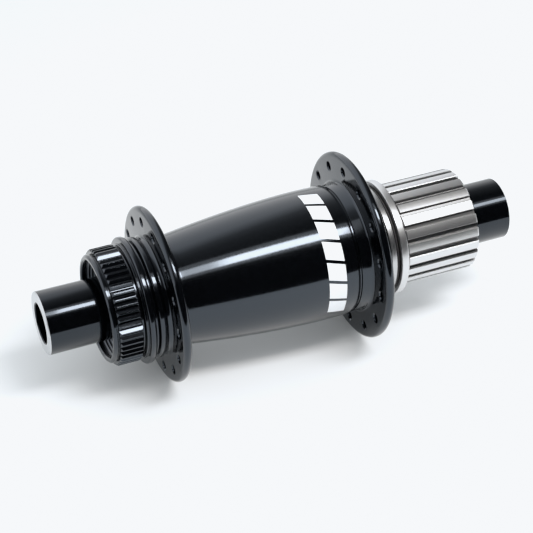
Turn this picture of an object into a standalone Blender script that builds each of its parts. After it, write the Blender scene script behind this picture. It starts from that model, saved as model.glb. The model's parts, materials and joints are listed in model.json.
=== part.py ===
"""Rear bicycle hub, 148 mm wide for a 12 mm thru axle, with a splined disc mount and a 23-spline freehub.

Every sub-part is an object of its own. The hub's axis is X: -X is the brake side, +X the drive side.
The origin is on the axis, midway between the two end caps. Outlines are (x, radius) in millimetres.
"""

import math

import bmesh
import bpy
from mathutils import Matrix, Vector

MM = 0.001

# Hub and axle
HUB_WIDTH = 148.0
THRU_BORE_R = 6.1
AXLE_R = 7.5
AXLE_BORE_R = 6.2
AXLE_SHOULDER_R = 9.0
AXLE_LENGTH = 132.0
CAP_R = 9.5
CAP_CHAMFER = 0.5
O_RING_X = 62.0
O_RING_R = 0.5
SHIELD_LEFT = 54.0
SHIELD_R = 12.6

# Clearances
FIT = 0.1
GAP = 0.3

# Hub shell
SHELL_LEFT = -57.2
SHELL_RIGHT = 30.0
BOSS_LIP_R = 15.9
DISC_SPLINE_R = 17.5
DISC_SPLINE_ROOT_R = 16.8
DISC_SPLINE_COUNT = 54
DISC_SPLINE_FROM = -55.4
DISC_SPLINE_TO = -49.0
DISC_GROOVE_R = 15.6
ROTOR_SEAT_X = -46.8
ROTOR_SEAT_R = 19.1
LOCKRING_THREAD_R = 14.6
DUST_SEAL_LEFT = -51.7
DUST_SEAL_RIGHT = -50.3
BRAKE_FLANGE_X = -38.4
BRAKE_FLANGE_R = 26.7
BRAKE_HOLE_CIRCLE_R = 22.7
BRAKE_HOLE_PHASE = 6.6
DRIVE_FLANGE_X = 24.0
DRIVE_FLANGE_R = 29.1
DRIVE_HOLE_CIRCLE_R = 24.8
DRIVE_HOLE_PHASE = 22.5
FLANGE_HALF_WIDTH = 1.35
SPOKE_HOLE_R = 1.35
SPOKES_PER_FLANGE = 14

# Bearings: two sizes, then each bearing's size, its middle on the axis and the body that its outer race is in
BEARING_BORE_R = AXLE_R + FIT
HUB_BEARING = {"outer_r": 13.85, "half_width": 3.4, "pitch_r": 10.75, "ball_r": 1.9, "balls": 9}
FREEHUB_BEARING = {"outer_r": 11.9, "half_width": 2.4, "pitch_r": 9.8, "ball_r": 1.2, "balls": 12}
BRAKE_BEARING_X = -46.6
DRIVE_BEARING_X = 14.0
BEARING_SEATS = {
    "brake_side_bearing": (HUB_BEARING, BRAKE_BEARING_X, "hub_shell_spin"),
    "drive_side_bearing": (HUB_BEARING, DRIVE_BEARING_X, "hub_shell_spin"),
    "freehub_inboard_bearing": (FREEHUB_BEARING, 31.5, "freewheel"),
    "freehub_outboard_bearing": (FREEHUB_BEARING, 49.0, "freewheel"),
}
BEARING_LIP_R = 12.8
BEARING_LIP_WIDTH = 1.9
SPACER_R = 8.5

# Ratchet and pawls
RATCHET_TEETH = 48
TOOTH_TIP_R = 14.25
TOOTH_ROOT_R = 15.2
RATCHET_THREAD_R = 16.0
RATCHET_RIM_R = 17.0
RATCHET_LEFT = 19.2
RATCHET_TEETH_END = 28.0
RATCHET_RIGHT = 31.9
PAWL_COUNT = 4
PAWL_PIVOT_R = 12.0
PAWL_HEEL_R = 1.6
PAWL_TIP = (5.5, 1.85)
PAWL_MIDDLE_X = 23.9
PAWL_LENGTH = 5.6
TOOTH_LEAD_DEG = 1.9
SPRING_HALF_WIDTH = 1.5

# Freehub body
CARRIER_LEFT = 20.4
CARRIER_RIGHT = 28.2
CARRIER_R = 13.8
FREEHUB_NECK_R = 14.0
COLLAR_LEFT = 32.9
COLLAR_RIGHT = 35.4
COLLAR_R = 17.9
COLLAR_FACE_R = 15.95
UNDERCUT_R = 14.9
CASSETTE_SPLINE_R = 15.75
CASSETTE_SPLINE_ROOT_R = 14.5
CASSETTE_SPLINE_COUNT = 23
CASSETTE_SPLINE_PHASE = 105.0
SPLINES_LEFT = 36.4
FREEHUB_RIGHT = 60.0
FREEHUB_SEAT_R = 12.0
CIRCLIP_X = 51.7

SHELL_SEGMENTS = 28
FREEHUB_SEGMENTS = 46
ROUND_SEGMENTS = 28
RACE_SEGMENTS = 24


def clear_scene():
    for item in list(bpy.data.objects):
        bpy.data.objects.remove(item)


def material(name, colour, roughness, metallic):
    made = bpy.data.materials.new(name)
    made.use_nodes = True
    shader = made.node_tree.nodes["Principled BSDF"]
    shader.inputs["Base Color"].default_value = (*colour, 1.0)
    shader.inputs["Roughness"].default_value = roughness
    shader.inputs["Metallic"].default_value = metallic
    return made


def axis_empty(name, parent=None):
    """An empty that stands for a moving body; it sits on that body's joint axis."""
    empty = bpy.data.objects.new(name, None)
    bpy.context.collection.objects.link(empty)
    empty.parent = parent
    return empty


def mesh_of(name, bm):
    """A mesh in metres from a bmesh in millimetres, faces outward and round sides smooth."""
    bmesh.ops.recalc_face_normals(bm, faces=bm.faces)
    bmesh.ops.scale(bm, vec=Vector((MM, MM, MM)), verts=bm.verts)
    mesh = bpy.data.meshes.new(name)
    bm.to_mesh(mesh)
    bm.free()
    mesh.shade_smooth()
    mesh.set_sharp_from_angle(angle=math.radians(35))
    return mesh


def place(name, mesh, look, parent, x=0.0, turn=0.0, radius=0.0):
    """An object moved x along the axis and radius away from it, then turned about the axis."""
    item = bpy.data.objects.new(name, mesh)
    bpy.context.collection.objects.link(item)
    if look and not mesh.materials:
        mesh.materials.append(look)
    item.parent = parent
    item.location = Matrix.Rotation(turn, 3, "X") @ Vector((x * MM, 0, radius * MM))
    item.rotation_euler = (turn, 0, 0)
    return item


def cutter(name, mesh, parent, **where):
    item = place(name, mesh, None, parent, **where)
    item.hide_render = True
    item.display_type = "WIRE"
    return item


def boolean(item, other, operation="DIFFERENCE"):
    modifier = item.modifiers.new(other.name, "BOOLEAN")
    modifier.object = other
    modifier.operation = operation
    modifier.solver = "EXACT"


def arc(middle, radius, start, end, steps):
    """Points (x, r) of an arc, with its angles in degrees from +X towards larger radii."""
    angles = [math.radians(start + (end - start) * i / steps) for i in range(steps + 1)]
    return [(middle[0] + radius * math.cos(a), middle[1] + radius * math.sin(a)) for a in angles]


def turned(outline, segments):
    """A closed outline turned about the hub's axis."""
    bm = bmesh.new()
    verts = [bm.verts.new((x, 0, r)) for x, r in outline]
    edges = [bm.edges.new((a, b)) for a, b in zip(verts, verts[1:] + verts[:1])]
    bmesh.ops.spin(bm, geom=verts + edges, axis=(1, 0, 0), angle=2 * math.pi, steps=segments, use_merge=True)
    bmesh.ops.remove_doubles(bm, verts=bm.verts, dist=1e-4)
    return bm


def tube(left, right, inner_r, outer_r):
    return [(left, inner_r), (right, inner_r), (right, outer_r), (left, outer_r)]


def add_prism(bm, outline, left, right, turn=0.0):
    """A (y, z) outline extruded along the axis from left to right, turned about the axis."""
    bend = Matrix.Rotation(turn, 3, "X")
    verts = [bm.verts.new(bend @ Vector((left, y, z))) for y, z in outline]
    face = bm.faces.new(verts)
    made = bmesh.ops.extrude_face_region(bm, geom=[face])["geom"]
    moved = [v for v in made if isinstance(v, bmesh.types.BMVert)]
    bmesh.ops.translate(bm, vec=Vector((right - left, 0, 0)), verts=moved)
    return bm


def facing(degrees):
    """The turn about the axis that brings the +Z side to an angle counted up from the -Y side."""
    return math.radians(90.0 - degrees)


def ring_of_grooves(count, phase, left, right, root_r, top_r, root_width, top_width):
    """Trapezoid bars around the axis, which cut the grooves between splines."""
    bm = bmesh.new()
    side = [(root_width / 2, root_r), (top_width / 2, top_r)]
    outline = side + [(-y, z) for y, z in reversed(side)]
    for i in range(count):
        add_prism(bm, outline, left, right, facing(phase + 360.0 * i / count))
    return bm


def ring_of_holes(count, phase, circle_r, hole_r, left, right, sides=8):
    """Round bars parallel to the axis, which cut the spoke holes."""
    bm = bmesh.new()
    for i in range(count):
        rim = [math.radians(360.0 * (k + 0.5) / sides) for k in range(sides)]
        outline = [(hole_r * math.cos(a), circle_r + hole_r * math.sin(a)) for a in rim]
        add_prism(bm, outline, left, right, facing(phase + 360.0 * i / count))
    return bm


def flange(middle, rim_r, root_r):
    """A spoke flange's outline: root_r on the brake side, its rounded rim, and root_r on the drive side."""
    left, right = middle - FLANGE_HALF_WIDTH, middle + FLANGE_HALF_WIDTH
    corner = 0.5 * FLANGE_HALF_WIDTH
    rim = [(left, rim_r - corner), (left + corner, rim_r), (right - corner, rim_r), (right, rim_r - corner)]
    return [(left, root_r), *rim, (right, root_r)]


def shell_outline():
    """The shell's outside from the brake side to the drive side, then its bore back again."""
    disc_mount = [
        (SHELL_LEFT, LOCKRING_THREAD_R),
        (SHELL_LEFT, BOSS_LIP_R - 0.4),
        (SHELL_LEFT + 0.4, BOSS_LIP_R),
        (DISC_SPLINE_FROM, BOSS_LIP_R),
        (DISC_SPLINE_FROM, DISC_SPLINE_R),
        (DISC_SPLINE_TO, DISC_SPLINE_R),
        (DISC_SPLINE_TO, DISC_GROOVE_R),
        (ROTOR_SEAT_X, DISC_GROOVE_R),
        (ROTOR_SEAT_X, ROTOR_SEAT_R),
        (ROTOR_SEAT_X + 1.1, ROTOR_SEAT_R),
        (ROTOR_SEAT_X + 3.0, 17.4),
    ]
    brake_flange = [(-41.4, 17.6), *flange(BRAKE_FLANGE_X, BRAKE_FLANGE_R, 20.0)]
    barrel = [(-35.4, 18.2), (-32.8, 16.9), (-22.0, 18.1), (-10.0, 19.15), (2.0, 20.0), (10.0, 20.2)]
    barrel_end = [(17.2, 19.9), (18.3, 18.6), (19.5, 18.6), (19.5, 19.2), (21.4, 19.4)]
    drive_flange = flange(DRIVE_FLANGE_X, DRIVE_FLANGE_R, 21.2)
    drive_boss = [(26.6, 18.8), (28.4, 17.4), (SHELL_RIGHT, 17.2)]
    ratchet_seat = [
        (SHELL_RIGHT, RATCHET_THREAD_R + FIT),
        (RATCHET_LEFT - GAP, RATCHET_THREAD_R + FIT),
        (RATCHET_LEFT - GAP, HUB_BEARING["outer_r"] + FIT),
    ]
    seat_r = HUB_BEARING["outer_r"] + FIT
    drive_seat = DRIVE_BEARING_X - HUB_BEARING["half_width"] - 0.2
    brake_seat = BRAKE_BEARING_X + HUB_BEARING["half_width"] + 0.2
    inner_bore = [
        (drive_seat, seat_r),
        (drive_seat, BEARING_LIP_R),
        (drive_seat - BEARING_LIP_WIDTH, BEARING_LIP_R),
        (drive_seat - BEARING_LIP_WIDTH, 17.4),
        (-2.0, 17.2),
        (-30.0, 14.6),
        (brake_seat + BEARING_LIP_WIDTH, 14.6),
        (brake_seat + BEARING_LIP_WIDTH, BEARING_LIP_R),
        (brake_seat, BEARING_LIP_R),
        (brake_seat, seat_r),
        (DUST_SEAL_LEFT - FIT, seat_r),
        (DUST_SEAL_LEFT - FIT, LOCKRING_THREAD_R),
    ]
    brake_half = disc_mount + brake_flange + barrel
    return brake_half + barrel_end + drive_flange + drive_boss + ratchet_seat + inner_bore


def make_shell(bodies, looks):
    spin = bodies["hub_shell_spin"]
    mesh = mesh_of("hub_shell", turned(shell_outline(), SHELL_SEGMENTS))
    shell = place("hub_shell", mesh, looks["black"], spin)
    grooves = ring_of_grooves(
        DISC_SPLINE_COUNT, 0.0, DISC_SPLINE_FROM - 0.5, DISC_SPLINE_TO + 0.5,
        DISC_SPLINE_ROOT_R, DISC_SPLINE_R + 0.06, 0.14, 1.88,
    )
    boolean(shell, cutter("disc_spline_cutter", mesh_of("disc_spline_cutter", grooves), spin))
    for side, x, circle_r, phase in (
        ("brake", BRAKE_FLANGE_X, BRAKE_HOLE_CIRCLE_R, BRAKE_HOLE_PHASE),
        ("drive", DRIVE_FLANGE_X, DRIVE_HOLE_CIRCLE_R, DRIVE_HOLE_PHASE),
    ):
        reach = FLANGE_HALF_WIDTH + 1.0
        holes = ring_of_holes(SPOKES_PER_FLANGE, phase, circle_r, SPOKE_HOLE_R, x - reach, x + reach)
        name = side + "_spoke_hole_cutter"
        boolean(shell, cutter(name, mesh_of(name, holes), spin))
    seal = turned(tube(DUST_SEAL_LEFT, DUST_SEAL_RIGHT, CAP_R + GAP, HUB_BEARING["outer_r"]), ROUND_SEGMENTS)
    place("brake_side_dust_seal", mesh_of("brake_side_dust_seal", seal), looks["rubber"], spin)


def tooth_space():
    """The saw-toothed space inside the ratchet ring: each tooth's steep face meets a pawl's tip."""
    tip_y, tip_z = PAWL_TIP[0], PAWL_PIVOT_R + PAWL_TIP[1]
    steep = math.pi / 2 - math.atan2(tip_y, tip_z) - math.radians(TOOTH_LEAD_DEG)
    pitch = 2 * math.pi / RATCHET_TEETH
    outline = []
    for i in range(RATCHET_TEETH):
        angle = steep + i * pitch
        for r in (TOOTH_TIP_R, TOOTH_ROOT_R):
            outline.append((r * math.cos(angle), r * math.sin(angle)))
    return outline


def make_ratchet_ring(bodies, looks):
    outline = [
        (RATCHET_LEFT, TOOTH_TIP_R - 0.2),
        (RATCHET_TEETH_END, TOOTH_TIP_R - 0.2),
        (RATCHET_TEETH_END, TOOTH_ROOT_R + 0.2),
        (RATCHET_RIGHT, TOOTH_ROOT_R + 0.2),
        (RATCHET_RIGHT, RATCHET_RIM_R - 0.3),
        (RATCHET_RIGHT - 0.3, RATCHET_RIM_R),
        (SHELL_RIGHT + FIT, RATCHET_RIM_R),
        (SHELL_RIGHT + FIT, RATCHET_THREAD_R),
        (RATCHET_LEFT, RATCHET_THREAD_R),
    ]
    spin = bodies["hub_shell_spin"]
    mesh = mesh_of("ratchet_ring", turned(outline, SHELL_SEGMENTS))
    ring = place("ratchet_ring", mesh, looks["steel"], spin)
    teeth = add_prism(bmesh.new(), tooth_space(), RATCHET_LEFT - 1.0, RATCHET_TEETH_END + 0.1)
    boolean(ring, cutter("ratchet_tooth_cutter", mesh_of("ratchet_tooth_cutter", teeth), spin))


def freehub_outline():
    """The freehub body's outside from the pawl carrier to its open end, then its bore back again."""
    carrier = [
        (CARRIER_LEFT, 8.8),
        (CARRIER_LEFT, CARRIER_R),
        (CARRIER_RIGHT, CARRIER_R),
        (CARRIER_RIGHT, FREEHUB_NECK_R),
        (COLLAR_LEFT, FREEHUB_NECK_R),
    ]
    collar = [
        (COLLAR_LEFT, COLLAR_R),
        (COLLAR_RIGHT - 0.4, COLLAR_R),
        (COLLAR_RIGHT, COLLAR_R - 0.4),
        (COLLAR_RIGHT, COLLAR_FACE_R),
        (COLLAR_RIGHT - 0.5, UNDERCUT_R),
    ]
    splines = [
        (SPLINES_LEFT, UNDERCUT_R),
        (SPLINES_LEFT, CASSETTE_SPLINE_R),
        (FREEHUB_RIGHT - 0.5, CASSETTE_SPLINE_R),
        (FREEHUB_RIGHT, CASSETTE_SPLINE_R - 0.5),
    ]
    bore = [
        (FREEHUB_RIGHT, 13.6),
        (CIRCLIP_X + 1.6, 13.6),
        (CIRCLIP_X + 1.6, FREEHUB_SEAT_R),
        (CIRCLIP_X + 0.9, FREEHUB_SEAT_R),
        (CIRCLIP_X + 0.9, 13.0),
        (CIRCLIP_X - FIT, 13.0),
        (CIRCLIP_X - FIT, FREEHUB_SEAT_R),
        (28.9, FREEHUB_SEAT_R),
        (28.9, 8.8),
    ]
    return carrier + collar + splines + bore


def pawl_pocket():
    """The (y, z) outline of a pocket, from the pawl's pivot: y along the rim, z outward."""
    heel = [(-y, z) for y, z in arc((0, 0), PAWL_HEEL_R + GAP, 85, -90, 5)]
    return [*heel, (6.0, -PAWL_HEEL_R - GAP), (6.0, 4.0), (-0.16, 4.0)]


def pawl_outline():
    """The (y, z) outline of a pawl, from its pivot: a round heel and a nose that meets a tooth."""
    heel = [(-y, z) for y, z in arc((0, 0), PAWL_HEEL_R, 120, -90, 6)]
    nose_inner = (PAWL_TIP[0] - 0.75, PAWL_TIP[1] - 1.85)
    return [*heel, nose_inner, PAWL_TIP, (3.9, 1.25)]


def spring_outline():
    """The (y, z) outline of a folded leaf spring on the pocket's floor, below the pawl's nose."""
    return [(1.2, -1.8), (5.5, -1.8), (5.7, -1.45), (3.0, -1.3), (3.0, -1.45), (5.3, -1.6), (1.2, -1.65)]


def make_freehub(bodies, looks):
    spin = bodies["freewheel"]
    mesh = mesh_of("freehub_body", turned(freehub_outline(), FREEHUB_SEGMENTS))
    body = place("freehub_body", mesh, looks["steel"], spin)
    grooves = ring_of_grooves(
        CASSETTE_SPLINE_COUNT, CASSETTE_SPLINE_PHASE, SPLINES_LEFT - 0.5, FREEHUB_RIGHT + 1.0,
        CASSETTE_SPLINE_ROOT_R, CASSETTE_SPLINE_R + 0.75, 1.4, 2.1,
    )
    boolean(body, cutter("cassette_spline_cutter", mesh_of("cassette_spline_cutter", grooves), spin))
    half = PAWL_LENGTH / 2
    pocket = mesh_of("pawl_pocket_cutter", add_prism(bmesh.new(), pawl_pocket(), -half - 0.2, half + 0.2))
    pawl = mesh_of("pawl", add_prism(bmesh.new(), pawl_outline(), -half, half))
    leaf_bm = add_prism(bmesh.new(), spring_outline(), -SPRING_HALF_WIDTH, SPRING_HALF_WIDTH)
    leaf = mesh_of("pawl_spring", leaf_bm)
    for i in range(PAWL_COUNT):
        where = {"x": PAWL_MIDDLE_X, "radius": PAWL_PIVOT_R, "turn": 2 * math.pi * i / PAWL_COUNT}
        number = str(i + 1)
        boolean(body, cutter("pawl_pocket_cutter_" + number, pocket, spin, **where))
        place("pawl_" + number, pawl, looks["steel"], spin, **where)
        place("pawl_spring_" + number, leaf, looks["spring_steel"], spin, **where)
    make_freehub_seal(spin, looks)
    make_circlip(spin, looks)


def make_freehub_seal(spin, looks):
    """A rubber sleeve on the freehub's neck, with a lip inside the ratchet ring and a flange outside it."""
    neck = FREEHUB_NECK_R + 0.15
    outline = [
        (28.6, neck),
        (COLLAR_LEFT - 0.2, neck),
        (COLLAR_LEFT - 0.2, 16.6),
        (RATCHET_RIGHT + 0.2, 16.6),
        (RATCHET_RIGHT + 0.2, 14.6),
        (31.0, 14.6),
        (30.4, 15.1),
        (29.8, 14.6),
        (28.6, 14.6),
    ]
    place("freehub_seal", mesh_of("freehub_seal", turned(outline, ROUND_SEGMENTS)), looks["rubber"], spin)


def make_circlip(spin, looks):
    """An open retaining ring in the freehub's bore, outboard of its bearing."""
    ring = turned(tube(CIRCLIP_X, CIRCLIP_X + 0.8, 11.0, 12.9), ROUND_SEGMENTS)
    circlip = place("freehub_circlip", mesh_of("freehub_circlip", ring), looks["spring_steel"], spin)
    opening = [(-1.5, 9.0), (1.5, 9.0), (1.5, 14.0), (-1.5, 14.0)]
    gap = add_prism(bmesh.new(), opening, CIRCLIP_X - 1.0, CIRCLIP_X + 2.0)
    boolean(circlip, cutter("circlip_gap_cutter", mesh_of("circlip_gap_cutter", gap), spin))


def race_outline(size, back_r, outward):
    """A race with its back at back_r and an arc for its ball groove, and the radius of its lands."""
    middle, reach = (90, 48) if outward else (-90, -48)
    groove = arc((0, size["pitch_r"]), size["ball_r"] + 0.2, middle + reach, middle - reach, 3)
    half, land_r = size["half_width"], groove[0][1]
    return [(half, back_r), (-half, back_r), (-half, land_r), *groove, (half, land_r)], land_r


def make_bearing(name, size, x, ring_body, bodies, looks):
    """A sealed ball bearing: its inner race on the axle, its outer race and seals in a housing, its balls."""
    half = size["half_width"]
    inner, inner_land = race_outline(size, BEARING_BORE_R, False)
    outer, outer_land = race_outline(size, size["outer_r"], True)
    for race, outline, body in (("inner", inner, "axle"), ("outer", outer, ring_body)):
        label = name + "_" + race + "_race"
        mesh = mesh_of(label, turned(outline, RACE_SEGMENTS))
        place(label, mesh, looks["bearing_steel"], bodies[body], x=x)
    shield = tube(-0.3, 0.3, inner_land + 0.25, outer_land - 0.35)
    seal = mesh_of(name + "_seal", turned(shield, RACE_SEGMENTS))
    for side, offset in (("left", -half + 0.4), ("right", half - 0.4)):
        place(name + "_" + side + "_seal", seal, looks["rubber"], bodies[ring_body], x=x + offset)
    make_ball_cage(name, size, x, bodies, looks)


def make_ball_cage(name, size, x, bodies, looks):
    """The balls and the ribbon that spaces them, which circle between the races as one piece."""
    pitch, radius = size["pitch_r"], size["ball_r"]
    spin = bodies[name + "_balls"]
    ribbon = turned(tube(-radius * 0.55, radius * 0.55, pitch - 0.3, pitch + 0.3), RACE_SEGMENTS)
    cage = place(name + "_balls", mesh_of(name + "_balls", ribbon), looks["bearing_steel"], spin, x=x)
    balls = bmesh.new()
    for i in range(size["balls"]):
        at = Matrix.Rotation(2 * math.pi * i / size["balls"], 4, "X") @ Matrix.Translation((0, 0, pitch))
        bmesh.ops.create_uvsphere(balls, u_segments=6, v_segments=4, radius=radius, matrix=at)
    boolean(cage, cutter(name + "_ball_set", mesh_of(name + "_ball_set", balls), spin, x=x), "UNION")


def make_axle(bodies, looks):
    """The stepped tube that everything turns on, and the two spacers between its bearings' inner races."""
    end = AXLE_LENGTH / 2
    shoulder_left, shoulder_right = -43.1, 10.5
    outline = [
        (-end, AXLE_BORE_R),
        (end, AXLE_BORE_R),
        (end, AXLE_R - 0.4),
        (end - 0.4, AXLE_R),
        (shoulder_right, AXLE_R),
        (shoulder_right, AXLE_SHOULDER_R),
        (shoulder_left, AXLE_SHOULDER_R),
        (shoulder_left, AXLE_R),
        (-end + 0.4, AXLE_R),
        (-end, AXLE_R - 0.4),
    ]
    root = bodies["axle"]
    place("axle", mesh_of("axle", turned(outline, ROUND_SEGMENTS)), looks["bare_aluminium"], root)
    for name, left, right in (("hub_bearing_spacer", 17.6, 28.9), ("freehub_bearing_spacer", 34.1, 46.4)):
        sleeve = turned(tube(left, right, BEARING_BORE_R, SPACER_R), RACE_SEGMENTS)
        place(name, mesh_of(name, sleeve), looks["bare_aluminium"], root)


def cap_outline(inner_end, shield):
    """An end cap for the +X side, from its bore outward: it slides over the axle and holds an O-ring."""
    face = HUB_WIDTH / 2
    axle_end = AXLE_LENGTH / 2
    socket_r = AXLE_R + FIT
    bore = [
        (face, THRU_BORE_R),
        (axle_end + GAP, THRU_BORE_R),
        (axle_end + GAP, socket_r),
        (O_RING_X + 0.7, socket_r),
        (O_RING_X + 0.7, socket_r + 1.1),
        (O_RING_X - 0.7, socket_r + 1.1),
        (O_RING_X - 0.7, socket_r),
        (inner_end, socket_r),
    ]
    outer_end = [(face - CAP_CHAMFER, CAP_R), (face, CAP_R - CAP_CHAMFER)]
    if shield:
        inner_sleeve = [(inner_end, 9.0), (SHIELD_LEFT, 9.0)]
        rim = [(SHIELD_LEFT, SHIELD_R), (SHIELD_LEFT + 1.2, SHIELD_R), (SHIELD_LEFT + 1.8, CAP_R)]
        return bore + inner_sleeve + rim + outer_end
    return bore + [(inner_end, CAP_R - 0.3)] + outer_end


def make_end_caps(bodies, looks):
    """The two pull-off end caps, each with the O-ring that holds it on the axle."""
    o_ring = arc((0, AXLE_R + 0.6), O_RING_R, 0, 270, 3)
    for side, sign, inner_end, shield in (("brake", -1, 50.3, False), ("drive", 1, 51.7, True)):
        body = bodies[side + "_side_end_cap"]
        outline = [(sign * x, r) for x, r in cap_outline(inner_end, shield)]
        label = side + "_side_end_cap"
        place(label, mesh_of(label, turned(outline, ROUND_SEGMENTS)), looks["black"], body)
        label = side + "_side_o_ring"
        place(label, mesh_of(label, turned(o_ring, ROUND_SEGMENTS)), looks["rubber"], body, x=sign * O_RING_X)


def make_bodies():
    """One empty for each body that moves, all on the hub's axis; the freehub turns on the shell's empty."""
    axle = axis_empty("axle_axis")
    shell = axis_empty("hub_shell_spin_axis", axle)
    bodies = {"axle": axle, "hub_shell_spin": shell, "freewheel": axis_empty("freewheel_axis", shell)}
    for name in BEARING_SEATS:
        bodies[name + "_balls"] = axis_empty(name + "_balls_axis", axle)
    for side in ("brake", "drive"):
        bodies[side + "_side_end_cap"] = axis_empty(side + "_side_end_cap_slide", axle)
    return bodies


def make_materials():
    return {
        "black": material("black_anodised", (0.012, 0.013, 0.015), 0.22, 1.0),
        "steel": material("machined_steel", (0.60, 0.61, 0.62), 0.33, 1.0),
        "bearing_steel": material("bearing_steel", (0.72, 0.73, 0.75), 0.18, 1.0),
        "spring_steel": material("spring_steel", (0.35, 0.36, 0.38), 0.30, 1.0),
        "bare_aluminium": material("bare_aluminium", (0.80, 0.80, 0.81), 0.35, 1.0),
        "rubber": material("seal_rubber", (0.02, 0.02, 0.02), 0.70, 0.0),
    }


def main():
    clear_scene()
    bodies = make_bodies()
    looks = make_materials()
    make_axle(bodies, looks)
    make_shell(bodies, looks)
    make_ratchet_ring(bodies, looks)
    make_freehub(bodies, looks)
    for name, (size, x, ring_body) in BEARING_SEATS.items():
        make_bearing(name, size, x, ring_body, bodies, looks)
    make_end_caps(bodies, looks)


main()
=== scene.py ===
"""The looks of a rear bicycle hub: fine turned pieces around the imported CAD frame, in a pale studio.

Lengths are in millimetres and outlines are (x, radius, fillet radius), turned about the hub's axis, X.
"""

import json
import math

import bmesh
import bpy
from mathutils import Matrix, Vector


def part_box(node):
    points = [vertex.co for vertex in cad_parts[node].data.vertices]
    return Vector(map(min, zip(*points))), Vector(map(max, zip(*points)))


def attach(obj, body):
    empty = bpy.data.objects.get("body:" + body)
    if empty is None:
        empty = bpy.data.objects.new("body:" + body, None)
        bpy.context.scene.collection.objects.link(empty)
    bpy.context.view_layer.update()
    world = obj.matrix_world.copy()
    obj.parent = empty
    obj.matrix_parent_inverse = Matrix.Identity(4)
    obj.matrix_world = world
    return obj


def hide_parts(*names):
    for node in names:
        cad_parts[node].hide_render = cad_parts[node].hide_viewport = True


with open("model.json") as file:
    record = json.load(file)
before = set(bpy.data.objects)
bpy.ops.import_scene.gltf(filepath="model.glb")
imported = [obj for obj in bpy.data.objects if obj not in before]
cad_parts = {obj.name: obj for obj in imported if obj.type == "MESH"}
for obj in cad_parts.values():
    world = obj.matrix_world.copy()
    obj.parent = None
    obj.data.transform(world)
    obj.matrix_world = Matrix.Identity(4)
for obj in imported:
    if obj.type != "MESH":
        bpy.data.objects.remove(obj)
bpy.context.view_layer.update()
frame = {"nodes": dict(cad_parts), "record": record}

MM = 0.001
TURN_STEPS = 168
FILLET_STEPS = 5
SHARP_ANGLE = math.radians(32)


def ends(node):
    """A CAD node's lowest and highest x, and its largest radius, in millimetres."""
    low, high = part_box(node)
    return low.x / MM, high.x / MM, high.z / MM


SHELL_LEFT, SHELL_RIGHT, DRIVE_FLANGE_R = ends("hub_shell")
CAP_RIGHT = ends("drive_side_end_cap")[1]
CAP_R = ends("brake_side_end_cap")[2]
FREEHUB_LEFT, FREEHUB_RIGHT, COLLAR_R = ends("freehub_body")
RATCHET_LEFT, RATCHET_RIGHT, RATCHET_RIM_R = ends("ratchet_ring")
SEAL_LEFT, SEAL_RIGHT, SEAL_R = ends("freehub_seal")

# Disc mount: the spline ring's ends, the groove behind it and the seat that the rotor rests on
DISC_SPLINES = 54
DISC_SPLINE_R = 17.5
DISC_SPLINE_ROOT_R = 16.8
DISC_RING_LEFT = -55.4
DISC_RING_RIGHT = -48.5
DISC_RING_CHAMFER = 0.5
DISC_GROOVE_R = 15.6
ROTOR_SEAT_X = -46.8
ROTOR_SEAT_R = 19.1
LOCKRING_THREAD_R = 14.6

# Shell bores: the bearing seats, the lips that the bearings rest on, and the drive side's open end
BEARING_SEAT_R = 13.95
BEARING_LIP_R = 12.8
DUST_SEAL_SEAT_X = -51.8
RATCHET_SEAT_R = 16.1

# Spoke flanges: middle, rim radius, hole circle radius, first hole's angle up from the -Y side
SPOKES_PER_FLANGE = 14
BRAKE_FLANGE = {"x": -38.4, "rim_r": 26.7, "circle_r": 22.7, "phase": 6.6}
DRIVE_FLANGE = {"x": 24.0, "rim_r": DRIVE_FLANGE_R, "circle_r": 24.8, "phase": 22.5}
FLANGE_HALF_WIDTH = 1.35
SPOKE_HOLE_R = 1.3

# Barrel
BARREL_R = 20.1
BARREL_CREST_X = 10.0
BARREL_FROM = -34.6
BARREL_TO = 17.4
BARREL_WAIST_X = -31.0
BARREL_WAIST_DROP = 3.2
BARREL_POWER = 1.7

# Freehub
CARRIER_R = 13.8
CARRIER_RIGHT = 28.2
NECK_R = 14.0
COLLAR_LEFT = 32.9
COLLAR_RIGHT = 35.4
FREEHUB_LIP_R = 8.8
CASSETTE_SPLINES = 23
CASSETTE_SPLINE_R = 15.75
CASSETTE_ROOT_R = 14.5
CASSETTE_PHASE = 105.0
SPLINES_LEFT = 36.4
FREEHUB_SEAT_R = 12.0
COLLAR_FACE_R = 15.95
UNDERCUT_R = 14.4
CIRCLIP_X = 51.7

# End caps: the bore's mouth at the bare face, the chamfer round the face, the bores and the O-ring's groove
CAP_MOUTH_R = 6.35
CAP_CHAMFER = 0.3
CAP_BORE_R = 6.1
AXLE_SOCKET_R = 7.6
AXLE_SOCKET_END = 66.3
O_RING_GROOVE = (61.3, 62.7, 8.7)
SHIELD = (54.0, 55.0, 12.6)

# Ratchet and pawls
RATCHET_TEETH = 48
PAWLS = 4
TOOTH_TIP_R = 14.25
TOOTH_ROOT_R = 15.2
PAWL_PIVOT_R = 12.0
PAWL_TIP = (5.5, 1.85)
PAWL_POCKET_R = 1.9
TOOTH_LEAD = math.radians(1.9)
TEETH_END = 28.0

# The graphic: how many bars, the gap between them, where they start and end round the barrel in degrees,
# their place along X, each bar's lean in degrees across its width, and the print's height over the barrel
GRAPHIC_BARS = 7
GRAPHIC_GAP = 3.0
GRAPHIC_TOP = 101.0
GRAPHIC_BOTTOM = -27.0
GRAPHIC_LEFT = 8.2
GRAPHIC_WIDTH = 5.6
GRAPHIC_LEAN = 5.0
GRAPHIC_LIFT = 0.03
GRAPHIC_STEPS = 10

# Camera: its place in metres, and the side it looks from
CAMERA_PLACE = (-0.16099, -0.38117, 0.32411)
CAMERA_AZIMUTH = math.radians(-22.43)
CAMERA_ELEVATION = math.radians(38.18)
CAMERA_LENS = 118.11
SENSOR = 36.0

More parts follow.
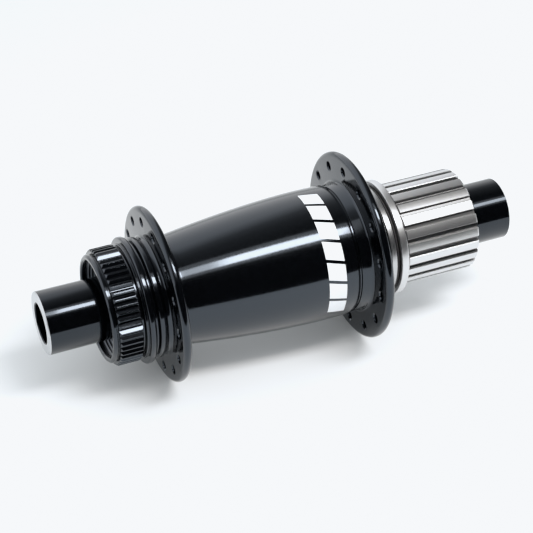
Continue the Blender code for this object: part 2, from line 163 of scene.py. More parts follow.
# The strip softbox: each stretch's ends along X, in metres, and its radiance; then its place and width
STRIP = ((-0.07, 0.010, 5.2), (0.010, 0.262, 20.0), (0.262, 0.40, 10.5))
STRIP_Y = -0.225
STRIP_HEIGHT = 0.50
STRIP_WIDTH = 0.118
HALO_SIZE = (0.55, 0.26)

# The highest red, green and blue that the picture reaches
WHITE_POINTS = (0.92, 0.937, 0.955)

# The room that the gloss sees: (y + GLOSS_LEAN * x of the direction, its level against GLOSS_STRENGTH)
GLOSS_STRENGTH = 1.5
GLOSS_LEAN = -0.9
GLOSS_RAMP = ((-0.3, 0.035), (0.1, 0.14), (0.27, 0.26), (0.4, 0.57), (0.5, 0.8), (0.75, 0.92), (1.2, 1.0))


# Shapes


def arc_points(middle, radius, start, end, steps):
    angles = [start + (end - start) * i / steps for i in range(steps + 1)]
    return [(middle[0] + radius * math.cos(a), middle[1] + radius * math.sin(a)) for a in angles]


def rounded(corners, steps=FILLET_STEPS):
    """A closed outline whose corners (x, r, fillet) are replaced by arcs."""
    outline = []
    count = len(corners)
    for i, corner in enumerate(corners):
        here = Vector(corner[:2])
        fillet = corner[2] if len(corner) > 2 else 0.0
        back = Vector(corners[i - 1][:2]) - here
        on = Vector(corners[(i + 1) % count][:2]) - here
        turn = back.angle(on) if back.length and on.length else math.pi
        if fillet <= 0 or turn > math.radians(178):
            outline.append(tuple(here))
            continue
        cut_back = min(fillet / math.tan(turn / 2), 0.49 * back.length, 0.49 * on.length)
        first, last = here + back.normalized() * cut_back, here + on.normalized() * cut_back
        inward = (back.normalized() + on.normalized()).normalized()
        middle = here + inward * cut_back / math.cos(turn / 2)
        sweep = (first - middle).angle_signed(last - middle)
        for k in range(steps + 1):
            outline.append(tuple(middle + Matrix.Rotation(-sweep * k / steps, 2) @ (first - middle)))
    return outline


def turned(outline, steps=TURN_STEPS):
    """A closed outline of (x, r) points turned about the axis."""
    bm = bmesh.new()
    verts = [bm.verts.new((x, 0, r)) for x, r in outline]
    edges = [bm.edges.new((a, b)) for a, b in zip(verts, verts[1:] + verts[:1])]
    bmesh.ops.spin(
        bm, geom=verts + edges, cent=(0, 0, 0), axis=(1, 0, 0), angle=2 * math.pi, steps=steps, use_merge=True
    )
    bmesh.ops.remove_doubles(bm, verts=bm.verts, dist=1e-4)
    return bm


def facing(degrees):
    """The turn about the axis that brings the +Z side to an angle counted up from the -Y side."""
    return math.radians(90.0 - degrees)


def add_prism(bm, outline, left, right, turn=0.0):
    """A (y, z) outline extruded along the axis from left to right, turned about the axis."""
    bend = Matrix.Rotation(turn, 3, "X")
    face = bm.faces.new([bm.verts.new(bend @ Vector((left, y, z))) for y, z in outline])
    made = bmesh.ops.extrude_face_region(bm, geom=[face])["geom"]
    moved = [v for v in made if isinstance(v, bmesh.types.BMVert)]
    bmesh.ops.translate(bm, vec=Vector((right - left, 0, 0)), verts=moved)


def add_pin(bm, profile, turn, circle_r, sides=24):
    """A closed profile of (x, r) turned about a line parallel to the axis, circle_r away from it."""
    pin = turned(profile, sides)
    place = Matrix.Rotation(turn, 4, "X") @ Matrix.Translation((0, 0, circle_r))
    bmesh.ops.transform(pin, matrix=place, verts=pin.verts)
    mesh = bpy.data.meshes.new("pin")
    pin.to_mesh(mesh)
    pin.free()
    bm.from_mesh(mesh)
    bpy.data.meshes.remove(mesh)


def new_object(name, bm, *looks):
    """An object in metres from a bmesh in millimetres, with its faces outward."""
    bmesh.ops.recalc_face_normals(bm, faces=bm.faces)
    bmesh.ops.scale(bm, vec=Vector((MM, MM, MM)), verts=bm.verts)
    mesh = bpy.data.meshes.new(name)
    bm.to_mesh(mesh)
    bm.free()
    for look in looks:
        mesh.materials.append(look)
    item = bpy.data.objects.new(name, mesh)
    bpy.context.collection.objects.link(item)
    return item


def cut(item, *cutters):
    """Takes each cutter's bmesh out of the object for good."""
    for number, bm in enumerate(cutters):
        tool = new_object("cutter_" + str(number), bm)
        modifier = item.modifiers.new(tool.name, "BOOLEAN")
        modifier.object = tool
        modifier.operation = "DIFFERENCE"
        modifier.solver = "EXACT"
        settle(item)
        bpy.data.objects.remove(tool)


def settle(item):
    """Replaces the object's mesh with the mesh that its modifiers make."""
    graph = bpy.context.evaluated_depsgraph_get()
    mesh = bpy.data.meshes.new_from_object(item.evaluated_get(graph))
    item.modifiers.clear()
    item.data = mesh


def shade(item, angle=SHARP_ANGLE):
    item.data.shade_smooth()
    item.data.set_sharp_from_angle(angle=angle)


def paint(item, slot, wanted):
    """Gives the faces whose middle (in millimetres) and normal pass the test another material slot."""
    for face in item.data.polygons:
        if wanted(face.center / MM, face.normal):
            face.material_index = slot


# Materials


def new_material(name):
    made = bpy.data.materials.new(name)
    made.use_nodes = True
    nodes = made.node_tree.nodes
    return made, nodes["Principled BSDF"], nodes, made.node_tree.links


def set_values(shader, **values):
    for key, value in values.items():
        shader.inputs[key.replace("_", " ")].default_value = value


def object_noise(nodes, links, scale, stretch=(1.0, 1.0, 1.0), detail=3.0):
    """Noise in object space; scale is its number of waves in a metre."""
    place = nodes.new("ShaderNodeTexCoord")
    mapping = nodes.new("ShaderNodeMapping")
    mapping.inputs["Scale"].default_value = stretch
    noise = nodes.new("ShaderNodeTexNoise")
    noise.inputs["Scale"].default_value = scale
    noise.inputs["Detail"].default_value = detail
    links.new(place.outputs["Object"], mapping.inputs["Vector"])
    links.new(mapping.outputs["Vector"], noise.inputs["Vector"])
    return noise.outputs["Fac"]


def ramp(nodes, links, value, low, high, low_at=0.3, high_at=0.7):
    """The value spread between two colours or two grey levels."""
    node = nodes.new("ShaderNodeValToRGB")
    first, last = node.color_ramp.elements
    first.position, last.position = low_at, high_at
    for element, colour in ((first, low), (last, high)):
        element.color = (*colour, 1.0) if isinstance(colour, tuple) else (colour, colour, colour, 1.0)
    links.new(value, node.inputs["Fac"])
    return node.outputs["Color"]


def bump(nodes, links, shader, height, strength, distance):
    node = nodes.new("ShaderNodeBump")
    node.inputs["Strength"].default_value = strength
    node.inputs["Distance"].default_value = distance
    links.new(height, node.inputs["Height"])
    links.new(node.outputs["Normal"], shader.inputs["Normal"])


def radius_value(nodes, links):
    """The distance from the hub's axis and the place along it, in metres."""
    place = nodes.new("ShaderNodeTexCoord")
    split = nodes.new("ShaderNodeSeparateXYZ")
    links.new(place.outputs["Object"], split.inputs["Vector"])
    length = nodes.new("ShaderNodeMath")
    length.operation = "POWER"
    length.inputs[1].default_value = 0.5
    square = nodes.new("ShaderNodeMath")
    square.operation = "MULTIPLY"
    add = nodes.new("ShaderNodeMath")
    add.operation = "MULTIPLY_ADD"
    links.new(split.outputs["Y"], square.inputs[0])
    links.new(split.outputs["Y"], square.inputs[1])
    links.new(split.outputs["Z"], add.inputs[0])
    links.new(split.outputs["Z"], add.inputs[1])
    links.new(square.outputs[0], add.inputs[2])
    links.new(add.outputs[0], length.inputs[0])
    return length.outputs[0], split.outputs["X"]


def turning_marks(nodes, links, pitch):
    """Noise that changes along the axis and outward, but not around it, as a lathe tool leaves it."""
    radius, along = radius_value(nodes, links)
    merge = nodes.new("ShaderNodeCombineXYZ")
    links.new(along, merge.inputs["X"])
    links.new(radius, merge.inputs["Y"])
    noise = nodes.new("ShaderNodeTexNoise")
    noise.inputs["Scale"].default_value = 1.0 / (pitch * MM)
    noise.inputs["Detail"].default_value = 2.0
    links.new(merge.outputs["Vector"], noise.inputs["Vector"])
    return noise.outputs["Fac"]


def black_anodised(name, ior, smooth, dull):
    made, shader, nodes, links = new_material(name)
    fine = object_noise(nodes, links, 900.0)
    base = ramp(nodes, links, fine, (0.0004, 0.0005, 0.0007), (0.001, 0.0012, 0.0016))
    links.new(base, shader.inputs["Base Color"])
    links.new(ramp(nodes, links, fine, smooth, dull), shader.inputs["Roughness"])
    set_values(shader, IOR=ior, Specular_Tint=(0.86, 1.0, 1.18, 1.0))
    bump(nodes, links, shader, turning_marks(nodes, links, 0.35), 0.04, 0.00002)
    return made


def bare_aluminium():
    made, shader, nodes, links = new_material("bare_aluminium")
    marks = turning_marks(nodes, links, 0.15)
    links.new(ramp(nodes, links, marks, (0.46, 0.48, 0.50), (0.56, 0.58, 0.60)), shader.inputs["Base Color"])
    links.new(ramp(nodes, links, marks, 0.26, 0.38), shader.inputs["Roughness"])
    set_values(shader, Metallic=1.0)
    bump(nodes, links, shader, marks, 0.15, 0.00003)
    return made


def freehub_steel():
    """Ground steel whose lands are brighter than the floors of the splines' grooves, where the darker floors
    are painted shade.
    """
    made, shader, nodes, links = new_material("freehub_steel")
    marks = turning_marks(nodes, links, 0.12)
    radius, _ = radius_value(nodes, links)
    floor_r, land_r = (CASSETTE_ROOT_R + 0.2) * MM, (CASSETTE_SPLINE_R - 0.25) * MM
    height = nodes.new("ShaderNodeMapRange")
    height.inputs["From Min"].default_value = floor_r
    height.inputs["From Max"].default_value = land_r
    links.new(radius, height.inputs["Value"])
    # Painted shade: the base colour runs from dark at the groove floors to bright on the lands, standing in
    # for the shade inside the grooves.
    colour = ramp(nodes, links, height.outputs["Result"], (0.15, 0.152, 0.155), (0.60, 0.61, 0.62), 0.0, 1.0)
    links.new(colour, shader.inputs["Base Color"])
    links.new(ramp(nodes, links, marks, 0.29, 0.36), shader.inputs["Roughness"])
    set_values(shader, Metallic=1.0)
    grain = object_noise(nodes, links, 2200.0, (0.15, 1.0, 1.0))
    bump(nodes, links, shader, grain, 0.015, 0.00002)
    return made


def machined_steel():
    made, shader, nodes, links = new_material("machined_steel")
    marks = turning_marks(nodes, links, 0.12)
    stain = object_noise(nodes, links, 160.0)
    links.new(ramp(nodes, links, stain, (0.40, 0.41, 0.42), (0.48, 0.49, 0.50)), shader.inputs["Base Color"])
    links.new(ramp(nodes, links, marks, 0.26, 0.36), shader.inputs["Roughness"])
    set_values(shader, Metallic=1.0)
    bump(nodes, links, shader, marks, 0.08, 0.00002)
    return made


def ground_steel(name, colour, roughness):
    made, shader, nodes, links = new_material(name)
    marks = turning_marks(nodes, links, 0.08)
    low = tuple(c * 0.88 for c in colour)
    links.new(ramp(nodes, links, marks, low, colour), shader.inputs["Base Color"])
    links.new(ramp(nodes, links, marks, roughness * 0.8, roughness * 1.3), shader.inputs["Roughness"])
    set_values(shader, Metallic=1.0)
    bump(nodes, links, shader, marks, 0.1, 0.00002)
    return made


def seal_rubber():
    made, shader, nodes, links = new_material("seal_rubber")
    grain = object_noise(nodes, links, 2500.0)
    colour = ramp(nodes, links, grain, (0.010, 0.010, 0.011), (0.022, 0.022, 0.023))
    links.new(colour, shader.inputs["Base Color"])
    links.new(ramp(nodes, links, grain, 0.5, 0.7), shader.inputs["Roughness"])
    bump(nodes, links, shader, grain, 0.2, 0.00004)
    return made


def white_print():
    made, shader, nodes, links = new_material("white_print")
    grain = object_noise(nodes, links, 3000.0)
    links.new(ramp(nodes, links, grain, (0.74, 0.76, 0.78), (0.82, 0.84, 0.86)), shader.inputs["Base Color"])
    links.new(ramp(nodes, links, grain, 0.35, 0.45), shader.inputs["Roughness"])
    return made


LOOKS = {
    "black_anodised": black_anodised("black_anodised", 1.56, 0.09, 0.12),
    "cap_black": black_anodised("cap_black", 1.46, 0.08, 0.10),
    "bare_aluminium": bare_aluminium(),
    "machined_steel": machined_steel(),
    "freehub_steel": freehub_steel(),
    "bearing_steel": ground_steel("bearing_steel", (0.74, 0.75, 0.77), 0.16),
    "spring_steel": ground_steel("spring_steel", (0.34, 0.35, 0.38), 0.30),
    "seal_rubber": seal_rubber(),
    "white_print": white_print(),
}


# Pieces


def barrel_r(x):
    """The barrel's radius: it swells from its waist on the brake side to its crest on the drive side."""
    reach = BARREL_CREST_X - BARREL_WAIST_X
    return BARREL_R - BARREL_WAIST_DROP * (abs(x - BARREL_CREST_X) / reach) ** BARREL_POWER


def flange_corners(flange, brake_root, drive_root):
    """A spoke flange's corners from its brake-side root over the rim to its drive-side root."""
    left, right = flange["x"] - FLANGE_HALF_WIDTH, flange["x"] + FLANGE_HALF_WIDTH
    rim = flange["rim_r"]
    edge = 0.97 * FLANGE_HALF_WIDTH
    return [(left, brake_root, 1.1), (left, rim, edge), (right, rim, edge), (right, drive_root, 1.8)]


def thread_corners(left, right, crest_r, depth, pitch):
    """A 60 degree thread's section along a bore, as rings, from right to left."""
    turns = int((right - left) / pitch)
    corners = []
    for i in range(turns):
        x = right - i * pitch
        corners += [(x, crest_r + depth), (x - 0.5 * pitch, crest_r)]
    return corners


def disc_mount_corners():
    """The lip, the spline ring, the groove behind it and the rotor's seat."""
    lip_right, lip_r, lip_groove_r = SHELL_LEFT + 1.2, 16.25, 15.7
    step_x, step_r = ROTOR_SEAT_X - 0.7, 17.3
    return [
        (SHELL_LEFT + 0.4, LOCKRING_THREAD_R, 0.05),
        (SHELL_LEFT, LOCKRING_THREAD_R + 0.4, 0.1),
        (SHELL_LEFT, lip_groove_r, 0.3),
        (SHELL_LEFT + 0.5, lip_r, 0.3),
        (lip_right, lip_r, 0.1),
        (lip_right, lip_groove_r, 0.1),
        (DISC_RING_LEFT, lip_groove_r, 0.1),
        (DISC_RING_LEFT, DISC_SPLINE_R - DISC_RING_CHAMFER, 0.05),
        (DISC_RING_LEFT + DISC_RING_CHAMFER, DISC_SPLINE_R, 0.1),
        (DISC_RING_RIGHT - 0.3, DISC_SPLINE_R, 0.1),
        (DISC_RING_RIGHT, DISC_SPLINE_R - 0.4, 0.05),
        (DISC_RING_RIGHT, DISC_GROOVE_R, 0.3),
        (step_x, DISC_GROOVE_R, 0.3),
        (step_x, step_r, 0.15),
        (ROTOR_SEAT_X, step_r, 0.1),
        (ROTOR_SEAT_X, ROTOR_SEAT_R, 0.55),
        (ROTOR_SEAT_X + 1.8, ROTOR_SEAT_R, 0.75),
    ]


def shell_bore_corners():
    """The shell's inside, from the drive side's open end to the lockring's thread."""
    bearing_stop, lip_end = 10.4, 8.5
    hollow_r, waist_r = 17.4, 14.6
    return [
        (SHELL_RIGHT, RATCHET_SEAT_R, 0.1),
        (18.9, RATCHET_SEAT_R, 0.0),
        (18.9, BEARING_SEAT_R, 0.0),
        (bearing_stop, BEARING_SEAT_R, 0.0),
        (bearing_stop, BEARING_LIP_R, 0.2),
        (lip_end, BEARING_LIP_R, 0.2),
        (lip_end, hollow_r, 0.6),
        (-2.0, 17.2, 0.0),
        (-30.0, waist_r, 0.0),
        (-41.0, waist_r, 0.5),
        (-41.0, BEARING_LIP_R, 0.2),
        (-43.0, BEARING_LIP_R, 0.2),
        (-43.0, BEARING_SEAT_R, 0.0),
        (DUST_SEAL_SEAT_X, BEARING_SEAT_R, 0.1),
        (DUST_SEAL_SEAT_X, LOCKRING_THREAD_R, 0.0),
    ]


def shell_corners():
    """The shell's outside from the brake side to the drive side, then its inside back again."""
    neck = [
        (-44.7, 17.2, 0.3),
        (-44.0, 17.2, 0.4),
        (-43.4, 18.2, 0.6),
        (-41.9, 18.2, 0.75),
        (-41.3, 17.5, 0.6),
    ]
    brake_flange = [*neck, *flange_corners(BRAKE_FLANGE, 17.8, 18.6)]
    steps = 24
    barrel = [
        (x, barrel_r(x), 0.0)
        for x in (BARREL_FROM + (BARREL_TO - BARREL_FROM) * i / steps for i in range(steps + 1))
    ]
    barrel[0] = (BARREL_FROM, barrel_r(BARREL_FROM), 1.0)
    barrel_end = [
        (18.3, barrel_r(BARREL_TO) - 0.05, 0.3),
        (18.3, 18.9, 0.2),
        (19.1, 18.9, 0.2),
        (19.2, 19.35, 0.15),
    ]
    drive_flange = flange_corners(DRIVE_FLANGE, 20.2, 20.8)
    drive_boss = [(26.6, 18.8, 0.8), (28.4, 17.4, 0.6), (SHELL_RIGHT, 17.2, 0.25)]
    outside = disc_mount_corners() + brake_flange + barrel + barrel_end + drive_flange + drive_boss
    thread = thread_corners(SHELL_LEFT + 0.8, DUST_SEAL_SEAT_X - 0.4, LOCKRING_THREAD_R - 0.05, 0.45, 1.0)
    return outside + shell_bore_corners() + thread


def spoke_hole_profile(x):
    """The section of a spoke hole with a countersink on each side of its flange."""
    face, sink = FLANGE_HALF_WIDTH, 0.35
    r, beyond = SPOKE_HOLE_R, 1.0
    edge = [(x - face - beyond, r + sink + beyond), (x - face + sink, r)]
    other = [(x + face - sink, r), (x + face + beyond, r + sink + beyond)]
    return [(x - face - beyond, 0.01), *edge, *other, (x + face + beyond, 0.01)]


def spoke_holes(flange):
    bm = bmesh.new()
    for i in range(SPOKES_PER_FLANGE):
        turn = facing(flange["phase"] + 360.0 * i / SPOKES_PER_FLANGE)
        add_pin(bm, spoke_hole_profile(flange["x"]), turn, flange["circle_r"])
    return bm


def grooves(count, phase, left, right, side):
    """Bars that cut grooves along the axis. Side is half a bar's section: (half width, r, fillet)."""
    bm = bmesh.new()
    outline = rounded(side + [(-corner[0], *corner[1:]) for corner in reversed(side)])
    for i in range(count):
        add_prism(bm, outline, left, right, facing(phase + 360.0 * i / count))
    return bm


def make_shell():
    black = LOOKS["black_anodised"]
    shell = new_object("fine_hub_shell", turned(rounded(shell_corners())), black)
    root, tip = DISC_SPLINE_ROOT_R, DISC_SPLINE_R
    side = [(0.07, root), (0.86, tip, 0.35), (1.0, tip), (1.0, tip + 0.05)]
    disc_grooves = grooves(DISC_SPLINES, 0.0, DISC_RING_LEFT - 0.3, DISC_RING_RIGHT + 0.8, side)
    cut(shell, disc_grooves, spoke_holes(BRAKE_FLANGE), spoke_holes(DRIVE_FLANGE))
    shade(shell)
    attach(shell, "shell")
    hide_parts("hub_shell")


def make_graphic():
    """Slanted white bars printed round the barrel near its crest."""
    bm = bmesh.new()
    span = (GRAPHIC_TOP - GRAPHIC_BOTTOM) / GRAPHIC_BARS
    steps = GRAPHIC_STEPS
    for i in range(GRAPHIC_BARS):
        start = GRAPHIC_TOP - span * i
        end = start - span + GRAPHIC_GAP
        rows = []
        for k in range(steps + 1):
            x = GRAPHIC_LEFT + GRAPHIC_WIDTH * k / steps
            r = barrel_r(x) + GRAPHIC_LIFT
            lean = GRAPHIC_LEAN * (0.5 - k / steps)
            angles = [math.radians(start + (end - start) * m / steps + lean) for m in range(steps + 1)]
            rows.append([bm.verts.new((x, -r * math.cos(a), r * math.sin(a))) for a in angles])
        for a, b in zip(rows, rows[1:]):
            for p, q, s, t in zip(a, a[1:], b[1:], b):
                bm.faces.new((p, q, s, t))
    graphic = new_object("barrel_graphic", bm, LOOKS["white_print"])
    modifier = graphic.modifiers.new("print_thickness", "SOLIDIFY")
    modifier.thickness = 0.02 * MM
    modifier.offset = -1
    settle(graphic)
    shade(graphic)
    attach(graphic, "shell")


def tooth_space():
    """The saw-toothed space inside the ratchet ring, in mesh with the pawls."""
    tip_y, tip_z = PAWL_TIP[0], PAWL_PIVOT_R + PAWL_TIP[1]
    steep = math.pi / 2 - math.atan2(tip_y, tip_z) - TOOTH_LEAD
    outline = []
    for i in range(RATCHET_TEETH):
        angle = steep + 2 * math.pi * i / RATCHET_TEETH
        outline += [(r * math.cos(angle), r * math.sin(angle)) for r in (TOOTH_TIP_R, TOOTH_ROOT_R)]
    return outline


def make_ratchet_ring():
    bore_r, mouth_r = 14.0, 15.4
    corners = [
        (RATCHET_LEFT, bore_r, 0.1),
        (TEETH_END, bore_r, 0.0),
        (TEETH_END, mouth_r, 0.2),
        (RATCHET_RIGHT, mouth_r, 0.15),
        (RATCHET_RIGHT, RATCHET_RIM_R, 0.35),
        (SHELL_RIGHT + 0.1, RATCHET_RIM_R, 0.15),
        (SHELL_RIGHT + 0.1, 16.0, 0.0),
        (RATCHET_LEFT, 16.0, 0.2),
    ]
    ring = new_object("fine_ratchet_ring", turned(rounded(corners)), LOOKS["machined_steel"])
    teeth = bmesh.new()
    add_prism(teeth, tooth_space(), RATCHET_LEFT - 1.0, TEETH_END + 0.1)
    cut(ring, teeth)
    shade(ring)
    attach(ring, "shell")
    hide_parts("ratchet_ring")


def freehub_corners():
    """The freehub body from the pawl carrier to its open end, then its bore back again."""
    outside = [
        (FREEHUB_LEFT, FREEHUB_LIP_R, 0.2),
        (FREEHUB_LEFT, CARRIER_R, 0.4),
        (CARRIER_RIGHT, CARRIER_R, 0.0),
        (CARRIER_RIGHT, NECK_R, 0.0),
        (COLLAR_LEFT, NECK_R, 0.2),
        (COLLAR_LEFT, COLLAR_R, 0.3),
        (COLLAR_RIGHT, COLLAR_R, 0.5),
        (COLLAR_RIGHT, COLLAR_FACE_R, 0.1),
        (COLLAR_RIGHT - 0.5, UNDERCUT_R, 0.1),
        (SPLINES_LEFT, UNDERCUT_R, 0.3),
        (SPLINES_LEFT, CASSETTE_SPLINE_R, 0.2),
        (FREEHUB_RIGHT - 0.5, CASSETTE_SPLINE_R, 0.1),
        (FREEHUB_RIGHT, CASSETTE_SPLINE_R - 0.5, 0.1),
    ]
    thread = thread_corners(CIRCLIP_X + 2.4, FREEHUB_RIGHT - 0.8, 13.5, 0.4, 1.0)
    bore = [
        (CIRCLIP_X + 1.6, 13.9, 0.0),
        (CIRCLIP_X + 1.6, FREEHUB_SEAT_R, 0.1),
        (CIRCLIP_X + 0.9, FREEHUB_SEAT_R, 0.0),
        (CIRCLIP_X + 0.9, 13.0, 0.0),
        (CIRCLIP_X - 0.1, 13.0, 0.0),
        (CIRCLIP_X - 0.1, FREEHUB_SEAT_R, 0.0),
        (28.9, FREEHUB_SEAT_R, 0.0),
        (28.9, FREEHUB_LIP_R, 0.1),
    ]
    return outside + [(FREEHUB_RIGHT, 14.0, 0.1), (FREEHUB_RIGHT - 0.4, 13.6, 0.0)] + thread + bore


def pawl_pockets():
    """Pockets in the pawl carrier, at the four pawls' pivots."""
    bm = bmesh.new()
    heel = [(-y, z) for y, z in arc_points((0, 0), PAWL_POCKET_R, math.radians(85), math.radians(-90), 12)]
    outline = [*heel, (6.0, -PAWL_POCKET_R), (6.0, 4.0), (-0.16, 4.0)]
    raised = [(y, z + PAWL_PIVOT_R) for y, z in outline]
    left, right, _ = ends("pawl_1")
    for i in range(PAWLS):
        add_prism(bm, raised, left - 0.2, right + 0.2, 2 * math.pi * i / PAWLS)
    return bm


def make_freehub():
    steel = LOOKS["freehub_steel"]
    body = new_object("fine_freehub_body", turned(rounded(freehub_corners()), 184), steel)
    root, tip = CASSETTE_ROOT_R, CASSETTE_SPLINE_R
    side = [(0.7, root, 0.12), (0.8, tip - 0.1), (0.92, tip), (1.05, tip + 0.12)]
    splines = grooves(CASSETTE_SPLINES, CASSETTE_PHASE, SPLINES_LEFT - 0.6, FREEHUB_RIGHT + 1.0, side)
    cut(body, splines, pawl_pockets())
    shade(body)
    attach(body, "freehub")
    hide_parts("freehub_body")


def make_freehub_seal():
    corners = [
        (SEAL_LEFT, 14.2, 0.05),
        (SEAL_RIGHT, 14.2, 0.05),
        (SEAL_RIGHT, SEAL_R, 0.2),
        (RATCHET_RIGHT + 0.2, SEAL_R, 0.2),
        (RATCHET_RIGHT + 0.2, 14.6, 0.1),
        (31.0, 14.6, 0.1),
        (30.4, 15.1, 0.2),
        (29.8, 14.6, 0.1),
        (SEAL_LEFT, 14.6, 0.1),
    ]
    seal = new_object("fine_freehub_seal", turned(rounded(corners)), LOOKS["seal_rubber"])
    shade(seal)
    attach(seal, "freehub")
    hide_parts("freehub_seal")


def make_dust_seal():
    """The brake-side dust seal: a dished rubber ring with a lip towards the end cap."""
    left, right, outer = ends("brake_side_dust_seal")
    corners = [
        (right, 9.8, 0.1),
        (right, outer, 0.1),
        (left, outer, 0.2),
        (left, outer - 1.2, 0.2),
        (left + 0.5, outer - 1.6, 0.2),
        (left + 0.5, 10.6, 0.2),
        (left, 10.1, 0.1),
        (left, 9.8, 0.05),
    ]
    seal = new_object("fine_brake_side_dust_seal", turned(rounded(corners)), LOOKS["seal_rubber"])
    shade(seal)
    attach(seal, "shell")
    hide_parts("brake_side_dust_seal")


def cap_corners(inner_end, shield):
    """An end cap for the +X side: its bore from the open end inward, then its outside back again."""
    groove_left, groove_right, groove_r = O_RING_GROOVE
    bore = [
        (CAP_RIGHT, CAP_MOUTH_R, 0.08),
        (CAP_RIGHT - 0.3, CAP_BORE_R, 0.1),
        (AXLE_SOCKET_END, CAP_BORE_R, 0.1),
        (AXLE_SOCKET_END, AXLE_SOCKET_R, 0.0),
        (groove_right, AXLE_SOCKET_R, 0.0),
        (groove_right, groove_r, 0.1),
        (groove_left, groove_r, 0.1),
        (groove_left, AXLE_SOCKET_R, 0.0),
        (inner_end, AXLE_SOCKET_R, 0.1),
    ]
    if shield:
        left, right, shield_r = SHIELD
        sleeve = [
            (inner_end, 9.0, 0.1),
            (left, 9.0, 0.1),
            (left, shield_r, 0.2),
            (right, shield_r, 0.2),
            (right + 1.0, CAP_R, 1.0),
        ]
    else:
        sleeve = [(inner_end, CAP_R - 0.1, 0.1)]
    return bore + sleeve + [(CAP_RIGHT - CAP_CHAMFER, CAP_R, 0.12), (CAP_RIGHT, CAP_R - CAP_CHAMFER, 0.12)]


def bare_on_cap(at, _):
    return abs(at.x) > CAP_RIGHT - CAP_CHAMFER - 0.03 and math.hypot(at.y, at.z) > CAP_MOUTH_R


def make_end_caps():
    """Both caps are black outside, with bare turned end faces."""
    for side, sign, inner_end, shield in (("brake", -1, 50.3, False), ("drive", 1, 51.7, True)):
        outline = [(sign * x, r) for x, r in rounded(cap_corners(inner_end, shield))]
        name = side + "_side_end_cap"
        cap = new_object("fine_" + name, turned(outline), LOOKS["cap_black"], LOOKS["bare_aluminium"])
        paint(cap, 1, bare_on_cap)
        shade(cap)
        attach(cap, side + "_side_cap")
        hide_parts(name)


def dress_cad_nodes():
    """The nodes that keep their CAD shape get the material of their slot."""
    slots = {p["node"]: p["material_slot"] for p in frame["record"]["subparts"]}
    for name, node in frame["nodes"].items():
        node.data.materials.clear()
        node.data.materials.append(LOOKS[slots[name]])
        shade(node)


# Stage


def make_floor():
    """A pale floor that touches both flanges, whose unequal rims tilt it against the hub's axis."""
    run = DRIVE_FLANGE["x"] - BRAKE_FLANGE["x"]
    tilt = math.atan((DRIVE_FLANGE["rim_r"] - BRAKE_FLANGE["rim_r"]) / run)
    half = 6.0
    bm = bmesh.new()
    bmesh.ops.create_grid(bm, x_segments=1, y_segments=1, size=half)
    mesh = bpy.data.meshes.new("floor")
    bm.to_mesh(mesh)
    bm.free()
    floor = bpy.data.objects.new("floor", mesh)
    bpy.context.collection.objects.link(floor)
    floor.location = (BRAKE_FLANGE["x"] * MM, 0, -BRAKE_FLANGE["rim_r"] / math.cos(tilt) * MM)
    floor.rotation_euler = (0, tilt, 0)
    made, shader, nodes, links = new_material("floor")
    grain = object_noise(nodes, links, 3.0)
    colour = ramp(nodes, links, grain, (0.83, 0.835, 0.84), (0.86, 0.865, 0.87))
    links.new(colour, shader.inputs["Base Color"])
    set_values(shader, Roughness=0.6, Specular_IOR_Level=0.2)
    mesh.materials.append(made)


def make_flag():
    """A black card at the front, seen only in reflections, that keeps the hub's front dark."""
    bm = bmesh.new()
    bmesh.ops.create_grid(bm, x_segments=1, y_segments=1, size=1.0)
    mesh = bpy.data.meshes.new("flag")
    bm.to_mesh(mesh)
    bm.free()
    flag = bpy.data.objects.new("flag", mesh)
    bpy.context.collection.objects.link(flag)
    flag.scale = (2.0, 0.19, 1.0)
    flag.location = (0.1, -0.30, 0.15)
    flag.rotation_euler = (math.radians(90), 0, 0)
    made, shader, _, _ = new_material("flag")
    set_values(shader, Base_Color=(0.01, 0.01, 0.012, 1.0), Roughness=1.0, Specular_IOR_Level=0.0)
    mesh.materials.append(made)
    flag.visible_camera = False
    flag.visible_diffuse = False
    flag.visible_shadow = False


def area_light(name, place, size, radiance):
    """A rectangular softbox that faces down; its radiance is what a mirror would show of it."""
    data = bpy.data.lights.new(name, "AREA")
    data.shape = "RECTANGLE"
    data.size, data.size_y = size
    data.energy = radiance * math.pi * size[0] * size[1]
    light = bpy.data.objects.new(name, data)
    bpy.context.collection.objects.link(light)
    light.location = place


def make_lights():
    """A strip softbox that fades towards its ends, with a dim halo round it."""
    for number, (start, end, radiance) in enumerate(STRIP):
        place = ((start + end) / 2, STRIP_Y, STRIP_HEIGHT)
        area_light("strip_" + str(number + 1), place, (end - start, STRIP_WIDTH), radiance)
    halo_place = ((STRIP[0][0] + STRIP[-1][1]) / 2, STRIP_Y, STRIP_HEIGHT + 0.005)
    area_light("strip_halo", halo_place, HALO_SIZE, 1.0)


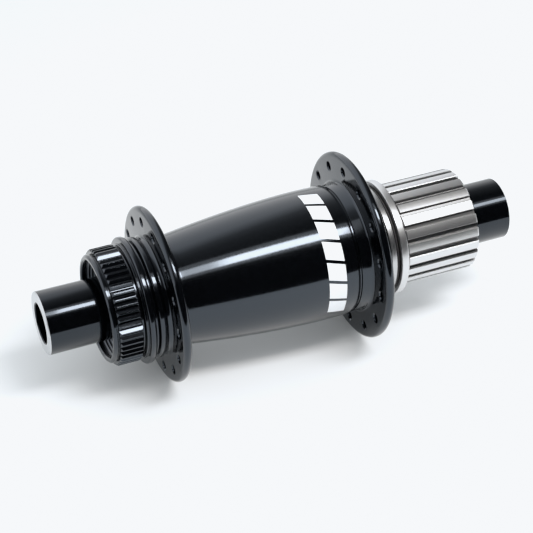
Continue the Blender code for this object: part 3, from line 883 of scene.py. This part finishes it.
def make_world():
    """An even pale room for the matt surfaces. For the gloss it is dark in front and pale behind."""
    world = bpy.data.worlds.new("studio")
    bpy.context.scene.world = world
    world.use_nodes = True
    nodes, links = world.node_tree.nodes, world.node_tree.links
    room = nodes["Background"]
    room.inputs["Color"].default_value = (0.88, 0.95, 1.0, 1.0)
    room.inputs["Strength"].default_value = 0.95
    place = nodes.new("ShaderNodeTexCoord")
    split = nodes.new("ShaderNodeSeparateXYZ")
    links.new(place.outputs["Generated"], split.inputs["Vector"])
    lean = nodes.new("ShaderNodeMath")
    lean.operation = "MULTIPLY_ADD"
    lean.inputs[1].default_value = GLOSS_LEAN
    links.new(split.outputs["X"], lean.inputs[0])
    links.new(split.outputs["Y"], lean.inputs[2])
    spread = nodes.new("ShaderNodeMapRange")
    spread.inputs["From Min"].default_value = GLOSS_RAMP[0][0]
    spread.inputs["From Max"].default_value = GLOSS_RAMP[-1][0]
    links.new(lean.outputs[0], spread.inputs["Value"])
    levels = nodes.new("ShaderNodeValToRGB")
    start, reach = GLOSS_RAMP[0][0], GLOSS_RAMP[-1][0] - GLOSS_RAMP[0][0]
    elements = levels.color_ramp.elements
    for at, _ in GLOSS_RAMP[1:-1]:
        elements.new((at - start) / reach)
    for element, (_, level) in zip(elements, GLOSS_RAMP):
        element.color = (0.97 * level, level, 1.04 * level, 1.0)
    links.new(spread.outputs["Result"], levels.inputs["Fac"])
    gloss = nodes.new("ShaderNodeBackground")
    gloss.inputs["Strength"].default_value = GLOSS_STRENGTH
    links.new(levels.outputs["Color"], gloss.inputs["Color"])
    rays = nodes.new("ShaderNodeLightPath")
    mix = nodes.new("ShaderNodeMixShader")
    links.new(rays.outputs["Is Glossy Ray"], mix.inputs["Fac"])
    links.new(room.outputs[0], mix.inputs[1])
    links.new(gloss.outputs[0], mix.inputs[2])
    links.new(mix.outputs[0], nodes["World Output"].inputs["Surface"])


def make_exposure():
    """Tone curves that hold the floor just under white, and leave it slightly cool."""
    view = bpy.context.scene.view_settings
    view.view_transform = "Standard"
    view.use_curve_mapping = True
    curves = view.curve_mapping
    curves.extend = "HORIZONTAL"
    for curve, white in zip(curves.curves, WHITE_POINTS):
        curve.points[1].location = (1.0, white)
        curve.points.new(0.8, 0.8)
    curves.update()


def make_camera():
    data = bpy.data.cameras.new("camera")
    data.lens = CAMERA_LENS
    data.sensor_width = SENSOR
    camera = bpy.data.objects.new("camera", data)
    bpy.context.collection.objects.link(camera)
    camera.location = CAMERA_PLACE
    back = Vector(
        (
            math.sin(CAMERA_AZIMUTH) * math.cos(CAMERA_ELEVATION),
            -math.cos(CAMERA_AZIMUTH) * math.cos(CAMERA_ELEVATION),
            math.sin(CAMERA_ELEVATION),
        )
    )
    camera.rotation_euler = (-back).to_track_quat("-Z", "Y").to_euler()
    bpy.context.scene.camera = camera


make_camera()
make_shell()
make_graphic()
make_ratchet_ring()
make_freehub()
make_freehub_seal()
make_dust_seal()
make_end_caps()
dress_cad_nodes()
make_floor()
make_flag()
make_lights()
make_world()
make_exposure()
